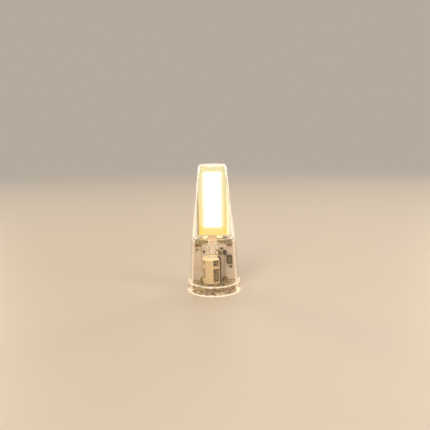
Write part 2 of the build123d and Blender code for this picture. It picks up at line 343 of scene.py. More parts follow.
def turned(outline, centre=(0, 0), segments=128, closed=True):
    """A profile of radius and height, turned about an upright axis through centre."""
    work = bmesh.new()
    rings = []
    for r, z in outline:
        if r < 1e-6:
            rings.append([work.verts.new((*centre, z))] * segments)
        else:
            rings.append([work.verts.new((
                centre[0] + r * cos(2 * pi * s / segments), centre[1] + r * sin(2 * pi * s / segments), z))
                for s in range(segments)])
    pairs = list(zip(rings, rings[1:] + rings[:1])) if closed else list(zip(rings, rings[1:]))
    for low, high in pairs:
        for s in range(segments):
            corners = [low[s], low[(s + 1) % segments], high[(s + 1) % segments], high[s]]
            face = list(dict.fromkeys(corners))
            if len(face) > 2:
                work.faces.new(face)
    return work


def swept_bead(outline, start, end, steps=72):
    """A profile of radius and height, turned through part of a circle, with closed ends."""
    work = bmesh.new()
    rings = []
    for step in range(steps + 1):
        angle = radians(start + (end - start) * step / steps)
        rings.append([work.verts.new((r * cos(angle), r * sin(angle), z)) for r, z in outline])
    count = len(outline)
    for near, far in zip(rings, rings[1:]):
        for i in range(count):
            work.faces.new((near[i], near[(i + 1) % count], far[(i + 1) % count], far[i]))
    work.faces.new(rings[0])
    work.faces.new(rings[-1][::-1])
    return work


def slab(outline, back_y, front_y, bevel, steps=3):
    """A flat outline of x and z, made a sheet from back_y to front_y with softened edges."""
    work = bmesh.new()
    back = [work.verts.new((x, back_y, z)) for x, z in outline]
    front = [work.verts.new((x, front_y, z)) for x, z in outline]
    work.faces.new(back)
    work.faces.new(front[::-1])
    for i in range(len(outline)):
        j = (i + 1) % len(outline)
        work.faces.new((back[j], back[i], front[i], front[j]))
    round_over(work, bevel, 40, steps)
    return work


def round_over(work, bevel, least_angle, steps):
    """Rounds the edges that are sharper than an angle."""
    rims = [e for e in work.edges if len(e.link_faces) == 2 and e.calc_face_angle(0) > radians(least_angle)]
    bmesh.ops.bevel(work, geom=rims, offset=bevel, segments=steps, profile=0.5, affect="EDGES",
                    clamp_overlap=True)


def softened(node, bevel):
    """The CAD node's own solids, merged to clean faces, with their edges rounded over."""
    work = bmesh.new()
    work.from_mesh(nodes[node].data)
    work.transform(Matrix.Scale(metre, 4))
    bmesh.ops.remove_doubles(work, verts=work.verts, dist=0.0005)
    bmesh.ops.dissolve_limit(work, angle_limit=radians(2), verts=work.verts, edges=work.edges)
    round_over(work, bevel, 25, 2)
    return work


def wire(start, corner, end, radius, bend, sides=16, steps=8):
    """Round wire from start to end by way of one bent corner, with its ends closed."""
    start, corner, end = Vector(start), Vector(corner), Vector(end)
    path = [start, *arc_between(start, corner, end, bend, steps), end]
    side = (start - corner).cross(end - corner).normalized()
    turns = [2 * pi * s / sides for s in range(sides)]
    work = bmesh.new()
    rings = []
    for index, point in enumerate(path):
        ahead = (path[min(index + 1, len(path) - 1)] - path[max(index - 1, 0)]).normalized()
        across = ahead.cross(side)
        rings.append([
            work.verts.new(point + (side * cos(turn) + across * sin(turn)) * radius) for turn in turns])
    for low, high in zip(rings, rings[1:]):
        for s in range(sides):
            work.faces.new((low[s], low[(s + 1) % sides], high[(s + 1) % sides], high[s]))
    work.faces.new(rings[0][::-1])
    work.faces.new(rings[-1])
    return work


def joined(works):
    """Several meshes in one."""
    whole = bmesh.new()
    for work in works:
        part = bpy.data.meshes.new("part")
        work.to_mesh(part)
        work.free()
        whole.from_mesh(part)
        bpy.data.meshes.remove(part)
    return whole


def unevened(work, amount, scale, seed, keep=None):
    """Moves points along their normals by smooth noise, apart from those to keep."""
    work.normal_update()
    shift = Vector((seed, seed * 0.7, -seed))
    free = [vert for vert in work.verts if not (keep and keep(vert.co))]
    moves = [vert.normal * noise.noise(vert.co * scale + shift) * amount for vert in free]
    for vert, move in zip(free, moves):
        vert.co += move
    return work


# Making what repeats, with Geometry Nodes

def shape_tree(name, sizes):
    """An empty tree with a named input for each size and for the finish, and the outputs that give them."""
    tree = bpy.data.node_groups.new(name, "GeometryNodeTree")
    for label, value in sizes.items():
        kind = "NodeSocketInt" if isinstance(value, int) else "NodeSocketFloat"
        tree.interface.new_socket(label, in_out="INPUT", socket_type=kind)
    tree.interface.new_socket("Finish", in_out="INPUT", socket_type="NodeSocketMaterial")
    tree.interface.new_socket("Mesh", in_out="OUTPUT", socket_type="NodeSocketGeometry")
    return tree, tree.nodes.new("NodeGroupInput").outputs


def geo(tree, kind, sockets=None, **settings):
    return add(tree, kind, sockets, family="GeometryNode", **settings).outputs[0]


def vector(tree, x=0.0, y=0.0, z=0.0):
    return add(tree, "CombineXYZ", {"X": x, "Y": y, "Z": z}).outputs[0]


def grown(tree, given, shapes, sizes, finish):
    """Ends a tree, and gives the mesh that it makes for the sizes."""
    whole = geo(tree, "RealizeInstances", {"Geometry": shapes})
    coated = geo(tree, "SetMaterial", {"Geometry": whole, "Material": given["Finish"]})
    tree.links.new(coated, tree.nodes.new("NodeGroupOutput").inputs[0])
    thing = bpy.data.objects.new(tree.name, bpy.data.meshes.new(tree.name))
    bpy.context.scene.collection.objects.link(thing)
    maker = thing.modifiers.new(tree.name, "NODES")
    maker.node_group = tree
    identifiers = {item.name: item.identifier for item in tree.interface.items_tree if item.in_out == "INPUT"}
    for label, value in {**sizes, "Finish": finish}.items():
        maker[identifiers[label]] = value
    settle(thing)
    work = bmesh.new()
    work.from_mesh(thing.data)
    bpy.data.objects.remove(thing)
    return work


def chip_field(y, finish):
    """Even rows of chips, each with two contact pads on both of its faces."""
    sizes = {
        "Columns": 3, "Rows": 12, "Column pitch": chip_column_pitch, "Row pitch": chip_row_pitch,
        "Chip width": 0.9, "Chip height": 0.5, "Chip thickness": 0.13, "Pad width": 0.14, "Pad proud": 0.01}
    tree, given = shape_tree("chip_field", sizes)
    across = product(tree, math(tree, "SUBTRACT", given["Columns"], 1), given["Column pitch"])
    up = product(tree, math(tree, "SUBTRACT", given["Rows"], 1), given["Row pitch"])
    grid = geo(tree, "MeshGrid", {
        "Size X": across, "Size Y": up, "Vertices X": given["Columns"], "Vertices Y": given["Rows"]})
    body = geo(tree, "MeshCube", {
        "Size": vector(tree, given["Chip width"], given["Chip height"], given["Chip thickness"])})
    proud = math(tree, "ADD", given["Chip thickness"], product(tree, given["Pad proud"], 2.0))
    pad = geo(tree, "MeshCube", {
        "Size": vector(tree, given["Pad width"], product(tree, given["Chip height"], 0.6), proud)})
    aside = product(tree, given["Chip width"], 0.32)
    pads = [geo(tree, "Transform", {"Geometry": pad, "Translation": vector(tree, product(tree, aside, side))})
            for side in (-1.0, 1.0)]
    chip = add(tree, "JoinGeometry", family="GeometryNode")
    for shape in (body, *pads):
        tree.links.new(shape, chip.inputs[0])
    chips = geo(tree, "InstanceOnPoints", {"Points": grid, "Instance": chip.outputs[0]})
    upright = geo(tree, "Transform", {
        "Geometry": chips, "Rotation": (pi / 2, 0, 0),
        "Translation": (coat_x, y, (field_foot_z + field_top_z) / 2)})
    return grown(tree, given, upright, sizes, finish)


def coil(x, y, z, finish):
    """Layers of rounded turns of wire around a post, laid side by side along y."""
    sizes = {
        "Turns": 6, "Layers": 2, "Coil width": 0.8, "Coil height": 1.6, "Coil depth": 0.6, "Wire": 0.1}
    tree, given = shape_tree("coil", sizes)
    half_wire = product(tree, given["Wire"], 0.5)
    layers = []
    for layer in range(sizes["Layers"]):
        inset = product(tree, given["Wire"], 1.0 + 1.6 * layer)
        loop = geo(tree, "CurvePrimitiveQuadrilateral", {
            "Width": math(tree, "SUBTRACT", given["Coil width"], inset),
            "Height": math(tree, "SUBTRACT", given["Coil height"], inset)})
        bent = add(tree, "FilletCurve", {
            "Curve": loop, "Count": 5, "Radius": product(tree, given["Coil width"], 0.22)},
            family="GeometryNode", mode="POLY").outputs[0]
        layers.append(bent)
    loops = add(tree, "JoinGeometry", family="GeometryNode")
    for bent in layers:
        tree.links.new(bent, loops.inputs[0])
    free_depth = math(tree, "SUBTRACT", given["Coil depth"], given["Wire"])
    step = math(tree, "DIVIDE", free_depth, math(tree, "SUBTRACT", given["Turns"], 1))
    row = geo(tree, "MeshLine", {
        "Count": given["Turns"], "Offset": vector(tree, z=step),
        "Start Location": vector(tree, z=product(tree, free_depth, -0.5))}, mode="OFFSET")
    turns = geo(tree, "InstanceOnPoints", {"Points": row, "Instance": loops.outputs[0]})
    ring = geo(tree, "CurvePrimitiveCircle", {"Resolution": 8, "Radius": half_wire})
    wires = geo(tree, "CurveToMesh", {
        "Curve": geo(tree, "RealizeInstances", {"Geometry": turns}), "Profile Curve": ring})
    standing = geo(tree, "Transform", {
        "Geometry": wires, "Rotation": (pi / 2, 0, 0), "Translation": (x, y, z)})
    return grown(tree, given, standing, sizes, finish)


def bubbles(finish):
    """Small bubbles of many sizes, strewn through the poured resin."""
    sizes = {
        "Seed": 7, "Per area": 1.1, "Spread": 5.5, "Foot": disc_t + 0.3, "Top": resin_z - 0.5,
        "Least radius": 0.08, "Greatest radius": 0.24}
    tree, given = shape_tree("bubbles", sizes)
    field = geo(tree, "MeshCircle", {"Vertices": 32, "Radius": given["Spread"]}, fill_type="NGON")
    strewn = geo(tree, "DistributePointsOnFaces", {
        "Mesh": field, "Density": given["Per area"], "Seed": given["Seed"]}, distribute_method="RANDOM")
    height = add(tree, "RandomValue", {2: given["Foot"], 3: given["Top"], "Seed": given["Seed"]},
                 family="FunctionNode", data_type="FLOAT").outputs[1]
    afloat = geo(tree, "SetPosition", {"Geometry": strewn, "Offset": vector(tree, z=height)})
    radius = add(tree, "RandomValue", {
        2: given["Least radius"], 3: given["Greatest radius"], "Seed": math(tree, "ADD", given["Seed"], 1)},
        family="FunctionNode", data_type="FLOAT").outputs[1]
    ball = geo(tree, "MeshUVSphere", {"Segments": 8, "Rings": 6, "Radius": 1.0})
    balls = geo(tree, "InstanceOnPoints", {
        "Points": afloat, "Instance": ball, "Scale": vector(tree, radius, radius, radius)})
    return grown(tree, given, balls, sizes, finish)


# Clear finishes

def cover_finish():
    """Clear plastic whose moulded top edge is lit by the light that its wall leads up."""
    material, tree, shader, (x, y, up) = clear_finish(
        "cover_plastic", colour(255, 253, 248), (0.01, 0.05), 0.45, 0.012, colour(250, 246, 238), glow=110.0)
    rim = spread(tree, flat_length(tree, x, y), 3.1, 3.7, 0.3, 0.25)
    shader.inputs["Emission Color"].default_value = colour(255, 226, 204)
    feed(tree, shader.inputs["Emission Strength"], product(
        tree, spread(tree, up, ceiling_z + 0.1, body_h - 0.16), rim))
    return material


def housing_finish():
    """Clear plastic that glows a little, most at the edges of its foot flange."""
    material, tree, shader, (x, y, up) = clear_finish(
        "housing_plastic", colour(254, 248, 238), (0.01, 0.06), 0.45, 0.014, colour(251, 248, 242), glow=12.0,
        smokiness=420.0)
    foot = spread(tree, up, 0.1, 0.6, 0.68, 0.0)
    ledge = product(tree, between(tree, up, flange_h - 0.3, flange_h + 0.1, 0.1), 0.5)
    rim = spread(tree, flat_length(tree, x, y), 6.85, 7.1)
    shader.inputs["Emission Color"].default_value = colour(255, 244, 222)
    feed(tree, shader.inputs["Emission Strength"], product(tree, rim, greatest(tree, foot, ledge)))
    return material


cover_plastic = cover_finish()
housing_plastic = housing_finish()


def patchy_finish(name, scale, dark, pale, rough, depth, shade, glow, clearness=1.0, sparkle=0.0):
    """Clear resin or glue with darker patches, and paler ones that can sparkle with light led to them."""
    material, tree, shader, _ = clear_finish(
        name, pale, rough, scale * 1.8, depth, shade, glow=glow, clearness=clearness)
    patches = spread(tree, grain(tree, place_in_mm(tree, (1, 1, 1.6)), scale, 3.0), 0.41, 0.6)
    feed(tree, shader.inputs["Base Color"], blended(tree, patches, dark, pale))
    if sparkle:
        shader.inputs["Emission Color"].default_value = colour(255, 244, 216)
        feed(tree, shader.inputs["Emission Strength"], product(tree, patches, patches, patches, sparkle))
    return material, tree, shader


disc_plastic = patchy_finish(
    "disc_plastic", 0.9, colour(120, 84, 22), colour(255, 244, 210), rough=(0.05, 0.2), depth=0.16,
    shade=colour(242, 228, 190), glow=30.0, sparkle=0.3)[0]
clear_resin = patchy_finish(
    "clear_resin", 1.05, colour(76, 46, 2), colour(255, 242, 204), rough=(0.03, 0.14), depth=0.4,
    shade=colour(236, 218, 172), glow=25.0, clearness=0.8)[0]
# Painted highlights: the bubbles glow strongly through their volume, so that they show as bright specks in
# the resin.
bubble_resin = clear_finish(
    "bubble_resin", colour(255, 248, 228), (0.02, 0.08), 2.4, 0.04, colour(244, 234, 206), 1000.0)[0]


def glue_finish():
    """Amber glue with brown patches, pale where the back of the coat lights it from above."""
    material, tree, shader = patchy_finish(
        "amber_glue", 1.3, colour(86, 64, 6), colour(206, 184, 92), rough=(0.15, 0.45), depth=0.2,
        shade=colour(226, 204, 160), glow=0.0, clearness=0.4)
    x, y, up = parts_of(tree, place_in_mm(tree))
    lit_patch = product(
        tree, between(tree, x, -3.3, 2.7, 0.4), spread(tree, up, 13.25, 13.5), spread(tree, y, 1.0, 2.0))
    shader.inputs["Emission Color"].default_value = colour(255, 244, 206)
    feed(tree, shader.inputs["Emission Strength"], product(tree, lit_patch, 0.8))
    return material


amber_glue = glue_finish()


# Lit finishes

def lit_coat_finish():
    """Yellow coat over the chips: white where the rows are lit, with a scalloped edge, yellow beside."""
    material, tree, shader, _ = new_finish("lit_coat")
    place = place_in_mm(tree)
    x, _, up = parts_of(tree, place)
    field_half = 2.38
    lit_x = -0.08
    wave = math(tree, "SINE", product(
        tree, math(tree, "SUBTRACT", up, field_foot_z + chip_row_pitch / 4), 2 * pi / chip_row_pitch))
    across = math(tree, "ABSOLUTE", math(tree, "SUBTRACT", x, lit_x))
    side = math(tree, "SUBTRACT", across, product(tree, wave, 0.1))
    beside = spread(tree, side, field_half - 0.7, field_half + 0.7, 1.0, 0.0, True)
    above = spread(tree, up, field_foot_z - 0.5, field_foot_z + 0.55, 0.0, 1.0, True)
    below = spread(tree, up, field_top_z - 0.6, field_top_z + 0.45, 1.0, 0.0, True)
    lit = product(tree, beside, above, below)
    sides = blended(tree, spread(tree, up, 21.0, 27.5), colour(252, 232, 164), colour(230, 233, 188))
    foot = colour(255, 222, 56)
    margin = blended(tree, spread(tree, up, 16.8, 19.0), foot, sides)
    speck = grain(tree, place, 7.0, 3.0)
    margin = blended(tree, spread(tree, speck, 0.35, 0.7, 0.0, 0.3), margin, colour(240, 200, 70))
    # Painted shade: a dark olive line along the coat's side edges, strongest low down and fading upwards.
    from_middle = math(tree, "ABSOLUTE", math(tree, "SUBTRACT", x, coat_x))
    fading = spread(tree, up, 22.0, 28.0, 0.75, 0.2)
    edge = product(tree, spread(tree, from_middle, coat_half - 0.22, coat_half - 0.05), fading)
    margin = blended(tree, edge, margin, colour(150, 124, 50))
    near = spread(tree, side, field_half + 0.3, field_half + 0.8, 0.3, 0.0)
    margin = blended(tree, near, margin, colour(255, 246, 206))
    feed(tree, shader.inputs["Base Color"], blended(tree, 0.8, margin, colour(96, 76, 26)))
    feed(tree, shader.inputs["Emission Color"], blended(tree, lit, margin, (1.0, 0.98, 0.95, 1.0)))
    feed(tree, shader.inputs["Emission Strength"], spread(tree, lit, 0.0, 1.0, 0.66, 1.35))
    shader.inputs["Roughness"].default_value = 0.42
    feed(tree, shader.inputs["Normal"], bumped(tree, grain(tree, place, 4.0, 3.0), 0.02))
    return material


def plate_finish():
    """Pale ceramic: it glows beside the coat, is darkened by painted shade along its left margin, is tan at
    the root of the tongue, and pale mauve below.
    """
    material, tree, shader, _ = new_finish("warm_ceramic")
    place = place_in_mm(tree)
    x, _, up = parts_of(tree, place)
    tone = blended(tree, grain(tree, place, 1.2), colour(250, 234, 204), colour(240, 222, 190))
    tongue = spread(tree, up, plate_foot_z - 0.1, plate_foot_z + 0.1, 1.0, 0.0)
    slant = math(tree, "SUBTRACT", up, math(tree, "ABSOLUTE", math(tree, "SUBTRACT", x, tongue_x)))
    root = product(tree, tongue, spread(tree, slant, 12.5, 13.2))
    # Painted shade: the plate's left margin, beyond the coat, is darkened towards brown.
    tone = blended(tree, product(tree, spread(tree, x, -3.9, -4.0), 0.8), tone, colour(122, 104, 70))
    tone = blended(tree, tongue, tone, colour(222, 214, 212))
    tone = blended(tree, root, tone, colour(214, 180, 144))
    from_tongue = math(tree, "ABSOLUTE", math(tree, "SUBTRACT", x, tongue_x))
    off_axis = math(tree, "SUBTRACT", from_tongue, tongue_joint_aside)
    for joint_z in tongue_joint_z:
        off_level = math(tree, "SUBTRACT", up, joint_z)
        reach = flat_length(tree, off_axis, off_level)
        flux = product(tree, spread(tree, reach, 0.52, 0.66, 1.0, 0.0), 0.7)
        tone = blended(tree, flux, tone, colour(112, 90, 46))
    feed(tree, shader.inputs["Base Color"], tone)
    shader.inputs["Emission Color"].default_value = colour(255, 226, 156)
    lit_side = product(tree, spread(tree, up, 15.2, 15.8), spread(tree, x, -3.0, 3.0))
    feed(tree, shader.inputs["Emission Strength"], spread(tree, lit_side, 0.0, 1.0, 0.04, 0.42))
    feed(tree, shader.inputs["Roughness"], spread(tree, grain(tree, place, 7.0), 0.3, 0.7, 0.35, 0.5))
    feed(tree, shader.inputs["Normal"], bumped(tree, grain(tree, place, 7.0, 2.0), 0.006))
    return material


lit_coat = lit_coat_finish()
warm_ceramic = plate_finish()
chip_crystal = plain_finish(
    "chip_crystal", colour(210, 214, 225), colour(180, 186, 205), 3.0, (0.2, 0.35), 0.002)


# Opaque finishes

def board_finish():
    """Pale solder mask over copper fields, with olive gaps between the fields."""
    material, tree, shader, _ = new_finish("board_mask")
    place = place_in_mm(tree)
    x, _, z = parts_of(tree, place)
    right = spread(tree, x, 2.6, 2.64)
    left = spread(tree, x, -2.6, -2.64)
    low = spread(tree, z, 9.8, 9.7)
    gaps = greatest(
        tree,
        product(tree, between(tree, x, 2.95, 3.35, 0.1), low),
        product(tree, between(tree, x, -3.65, -3.35, 0.1), spread(tree, z, 5.2, 5.4)),
        product(tree, between(tree, z, 9.75, 10.0, 0.06), right),
        product(tree, between(tree, z, 11.0, 11.2, 0.06), left),
        product(tree, between(tree, z, 6.7, 6.9, 0.06), spread(tree, x, 3.2, 3.3)),
        product(tree, between(tree, z, 5.1, 5.35, 0.06), left))
    clouds = spread(tree, grain(tree, place, 0.8), 0.35, 0.65)
    tone = blended(tree, clouds, colour(232, 224, 226), colour(224, 214, 208))
    tone = blended(tree, product(tree, gaps, 0.6), tone, colour(180, 166, 96))
    feed(tree, shader.inputs["Base Color"], tone)
    feed(tree, shader.inputs["Roughness"], spread(tree, grain(tree, place, 5.0), 0.3, 0.7, 0.28, 0.42))
    relief = math(tree, "SUBTRACT", grain(tree, place, 5.0), product(tree, gaps, 2.0))
    feed(tree, shader.inputs["Normal"], bumped(tree, relief, 0.012))
    return material


def printed_sleeve_finish():
    """Gold sleeve of the can, dark down its right side with lighter bars there, blocks of print that say
    nothing, and a glow painted on its top shoulder.
    """
    material, tree, shader, _ = new_finish("printed_sleeve")
    place = place_in_mm(tree, centre=(capacitor_x, capacitor_y, capacitor_foot_z))
    x, y, z = parts_of(tree, place)
    arc = product(tree, math(tree, "ARCTAN2", x, product(tree, y, -1.0)), sleeve_r)

    def block(low_arc, high_arc, low_z, high_z, pitch, share):
        """Bars of print between two arcs and two heights, each a share of the pitch."""
        field = product(tree, between(tree, arc, low_arc, high_arc), between(tree, z, low_z, high_z))
        step = math(tree, "FRACT", math(tree, "DIVIDE", math(tree, "ADD", z, low_arc), pitch))
        return product(tree, field, between(tree, step, 0.08, 0.08 + share, 0.03))

    columns = ((0.42, 1.2, 0.7, 0.84), (1.22, 2.06, 0.6, 0.82))
    bold = [block(low, high, low_z, high_z, pitch, share) for low, high, pitch, share in columns
            for low_z, high_z in ((4.95, 6.7), (0.6, 4.25))]
    thin = greatest(tree, block(-3.0, -1.9, 5.4, 6.4, 0.55, 0.5), block(-3.0, -1.9, 1.6, 4.4, 0.7, 0.5))
    # Dark band down the can's right side, with lighter bars cut into it.
    right_side_band = between(tree, arc, 2.46, 5.0, 0.06)
    bars = product(tree, between(tree, arc, 3.5, 3.9), between(tree, z, 0.5, 6.4),
                   between(tree, math(tree, "FRACT", math(tree, "DIVIDE", z, 1.3)), 0.1, 0.6, 0.03))
    right_side_band = math(tree, "SUBTRACT", right_side_band, bars, clamp=True)
    wear = grain(tree, place, 5.0, 4.0)
    print_cover = spread(tree, grain(tree, place, 2.2, 1.0), 0.3, 0.5, 0.72, 1.0)
    ink = product(tree, greatest(tree, *bold, product(tree, thin, 0.9)), print_cover)
    clouds = spread(tree, grain(tree, place, 1.2), 0.35, 0.65)
    tone = blended(tree, clouds, colour(234, 218, 182), colour(226, 208, 170))
    tone = blended(tree, ink, tone, colour(52, 22, 0))
    feed(tree, shader.inputs["Base Color"], blended(tree, right_side_band, tone, colour(38, 26, 0)))
    feed(tree, shader.inputs["Roughness"], spread(tree, wear, 0.3, 0.7, 0.3, 0.46))
    shader.inputs["Specular IOR Level"].default_value = 0.3
    shader.inputs["Emission Color"].default_value = colour(255, 236, 190)
    lit_shoulder = product(tree, spread(tree, z, 6.3, 6.9), math(tree, "SUBTRACT", 1.0, right_side_band), 0.3)
    feed(tree, shader.inputs["Emission Strength"], lit_shoulder)
    feed(tree, shader.inputs["Normal"], bumped(tree, grain(tree, place, 2.2, 3.0), 0.015))
    return material


def can_finish():
    """Satin aluminium whose closed end the coat above lights."""
    material = plain_finish(
        "can_metal", colour(220, 216, 208), colour(202, 198, 190), 2.0, (0.3, 0.45), 0.004, 0.8)
    tree = material.node_tree
    shader = tree.nodes["Principled BSDF"]
    _, _, z = parts_of(tree, place_in_mm(tree, centre=(capacitor_x, capacitor_y, capacitor_foot_z)))
    shader.inputs["Emission Color"].default_value = colour(255, 236, 196)
    feed(tree, shader.inputs["Emission Strength"], spread(tree, z, 6.7, 6.86, 0.0, 0.3))
    return material


board_mask = board_finish()
printed_sleeve = printed_sleeve_finish()
pin_plating = plain_finish(
    "pin_plating", colour(206, 200, 188), colour(186, 178, 162), 1.0, (0.22, 0.4), 0.004, 1.0, (1, 1, 0.15))
# Painted highlight: the solder is near-white and barely metallic, so the dabs show as bright glints.
solder_painted_white = plain_finish(
    "solder_painted_white", colour(255, 254, 250), colour(248, 244, 232), 1.4, (0.1, 0.25), 0.02, 0.05)
# Painted reflection: the solder metal is tinted olive, the colour of the amber resin it mirrors.
solder_painted_olive = plain_finish(
    "solder_painted_olive", colour(196, 178, 104), colour(140, 120, 54), 1.1, (0.14, 0.36), 0.02, 0.75)
can_metal = can_finish()
bung_rubber = plain_finish("bung_rubber", colour(46, 42, 38), colour(34, 31, 28), 3.0, (0.6, 0.8))
ferrite = plain_finish("ferrite", colour(50, 42, 14), colour(34, 28, 8), 4.0, (0.6, 0.8), 0.012)
drum_ferrite = plain_finish("drum_ferrite", colour(132, 118, 66), colour(104, 94, 52), 4.0, (0.4, 0.6), 0.012)
copper_wire = plain_finish(
    "copper_wire", colour(190, 116, 62), colour(160, 90, 44), 5.0, (0.2, 0.3), 0.003, 1.0)
chip_black = plain_finish("chip_black", colour(32, 27, 10), colour(22, 18, 6), 6.0, (0.6, 0.8), 0.008)
chip_ceramic = plain_finish(
    "chip_ceramic", colour(142, 124, 62), colour(118, 102, 50), 5.0, (0.3, 0.45), 0.006)
bright_tin = plain_finish(
    "bright_tin", colour(232, 228, 216), colour(206, 200, 184), 3.0, (0.15, 0.35), 0.01, 0.8)


# Clear body

lap = spigot_wall + fit_clearance
lap_top_z = spigot_top_z + 0.015
cover_work = turned(rounded([
    (0, body_h, 0), (2.0, body_h - 0.04, 0), (top_r, body_h - crown_rise, 0.55),
    (neck_r, neck_z + hairline, 0.1), (cover_bore_r(neck_z) + lap, neck_z + hairline, 0.03),
    (cover_bore_r(lap_top_z) + lap, lap_top_z, 0.015),
    (cover_bore_r(lap_top_z), lap_top_z, 0.015), (cover_bore_r(ceiling_z), ceiling_z, 0.16),
    (0, ceiling_z, 0)]), closed=False)
piece("cover_shell", cover_work, cover_plastic, "clear_plastic", "upper_cover")

recess_r = housing_bore_r(disc_t) + disc_ledge
disc_top_z = disc_t + hairline
housing_work = turned(rounded([
    (neck_r, neck_z, 0.1), (skirt_foot_r, flange_h, 0.12), (flange_top_r, flange_h, 0.16), (foot_r, 0, 0.22),
    (recess_r, 0, 0.08), (recess_r, disc_top_z, 0), (housing_bore_r(disc_t), disc_top_z, 0.05),
    (cover_bore_r(neck_z), neck_z, 0.3), (cover_bore_r(spigot_top_z), spigot_top_z, 0.015),
    (cover_bore_r(spigot_top_z) + spigot_wall, spigot_top_z, 0.02),
    (cover_bore_r(neck_z) + spigot_wall, neck_z, 0.02)]))
piece("housing_shell", housing_work, housing_plastic, "clear_plastic", "lower_housing")

glue_wall_r = housing_bore_r(neck_z) - glue_gap
glue_top_z = glue_z + glue_h
glue_outline = rounded([
    (glue_wall_r - 1.75, glue_z, 0.1), (glue_wall_r - 1.7, glue_top_z, 0.2),
    (glue_wall_r - 0.6, glue_top_z + 0.25, 0.4), (glue_wall_r, glue_top_z + 0.85, 0.06),
    (housing_bore_r(glue_z) - glue_gap, glue_z, 0.04)], 4)
glue_work = unevened(
    swept_bead(glue_outline, -4, 184, 90), 0.22, 1.5, 2.0,
    keep=lambda place: place.z < glue_z + 0.04 or sqrt(place.x**2 + place.y**2) > glue_wall_r - 0.1)
piece("neck_glue", glue_work, amber_glue, "amber_glue", "joint_glue", sharp=60)

disc_r = recess_r - 0.05
disc_work = turned(rounded([
    (0, disc_t - hairline, 0), (disc_r, disc_t - hairline, 0.06), (disc_r, 0, 0.1), (0, 0, 0)]), closed=False)
piece("base_disc_clear", disc_work, disc_plastic, "clear_plastic", "base_disc")

resin_foot_z = disc_t + hairline
resin_level_z = resin_z - 0.12
resin_wall = rounded([
    (housing_bore_r(disc_t) - hairline, resin_foot_z, 0.05),
    (housing_bore_r(resin_z) - hairline, resin_z + 0.1, 0.06),
    (housing_bore_r(resin_z) - 0.45, resin_z - 0.1, 0.12)], 4)
resin_foot = [Vector((0, resin_foot_z))] + [Vector((r / 5, resin_foot_z)) for r in range(1, 30, 2)]
resin_level = [Vector((r / 10, resin_level_z)) for r in range(50, 0, -2)] + [Vector((0, resin_level_z))]
resin_work = turned(resin_foot + resin_wall + resin_level, closed=False)
unevened(resin_work, 0.24, 1.3, 4.0,
         keep=lambda place: place.z < disc_t + 0.1 or sqrt(place.x**2 + place.y**2) > 5.6)
piece("poured_resin", resin_work, clear_resin, "clear_resin", "base_resin", sharp=60)
piece("resin_bubbles", bubbles(bubble_resin), bubble_resin, "clear_resin", "base_resin", sharp=80)


# Lit plate

def plate_half_w(z):
    """Half of the plate's width at a height."""
    share = max(0.0, (z - plate_waist_z) / (plate_top_z - plate_waist_z))
    return plate_half + (plate_top_half - plate_half) * share


def coat_outline():
    """The coat's outline: straight sides that follow the plate's taper near the top."""
    left = coat_x - coat_half
    right = coat_x + coat_half
    foot = plate_foot_z + 0.2
    top = plate_top_z - coat_margin
    rises = [foot + (top - foot) * step / 12 for step in range(1, 12)]
    top_half = plate_half_w(top) - coat_margin
    outline = [(left, foot, 0.2), (right, foot, 0.2)]
    outline += [(min(right, plate_half_w(z) - coat_margin), z, 0) for z in rises]
    outline += [(min(right, top_half), top, 0.25), (max(left, -top_half), top, 0.25)]
    outline += [(max(left, -plate_half_w(z) + coat_margin), z, 0) for z in reversed(rises)]
    return rounded(outline, 4)


plate_outline = rounded([
    (-plate_half, plate_foot_z, 0.12), (tongue_x - tongue_half, plate_foot_z, 0.12),
    (tongue_x - tongue_half, tongue_foot_z, 0.1), (tongue_x + tongue_half, tongue_foot_z, 0.1),
    (tongue_x + tongue_half, plate_foot_z, 0.12), (plate_half, plate_foot_z, 0.12),
    (plate_half, plate_waist_z, 0), (plate_top_half, plate_top_z, 0.2), (-plate_top_half, plate_top_z, 0.2),
    (-plate_half, plate_waist_z, 0)], 4)
piece("carrier_plate", slab(plate_outline, board_front_y, plate_front_y, 0.06), warm_ceramic, "plate_ceramic",
      "led_plate")
for side, back_y in (("front", plate_front_y - coat_seat), ("back", board_front_y + coat_t)):
    coat_work = slab(coat_outline(), back_y, back_y - coat_t + coat_seat, 0.14, 4)
    piece(f"lit_coat_{side}", coat_work, lit_coat, "phosphor", f"phosphor_{side}")
for side, chip_y in (("front", plate_front_y - chip_depth), ("back", board_front_y + chip_depth)):
    chip_work = chip_field(chip_y, chip_crystal)
    piece(f"chip_field_{side}", chip_work, chip_crystal, "led_chip", f"led_chips_{side}")


# Driver board and its parts

board_outline = rounded([
    (-board_foot_half, board_foot_z, 0.25), (board_foot_half, board_foot_z, 0.25),
    (board_top_half, board_top_z, 0.2), (-board_top_half, board_top_z, 0.2)], 4)
piece("driver_board_edged", slab(board_outline, board_back_y, board_front_y, 0.05), board_mask, "board_white",
      "driver_board")

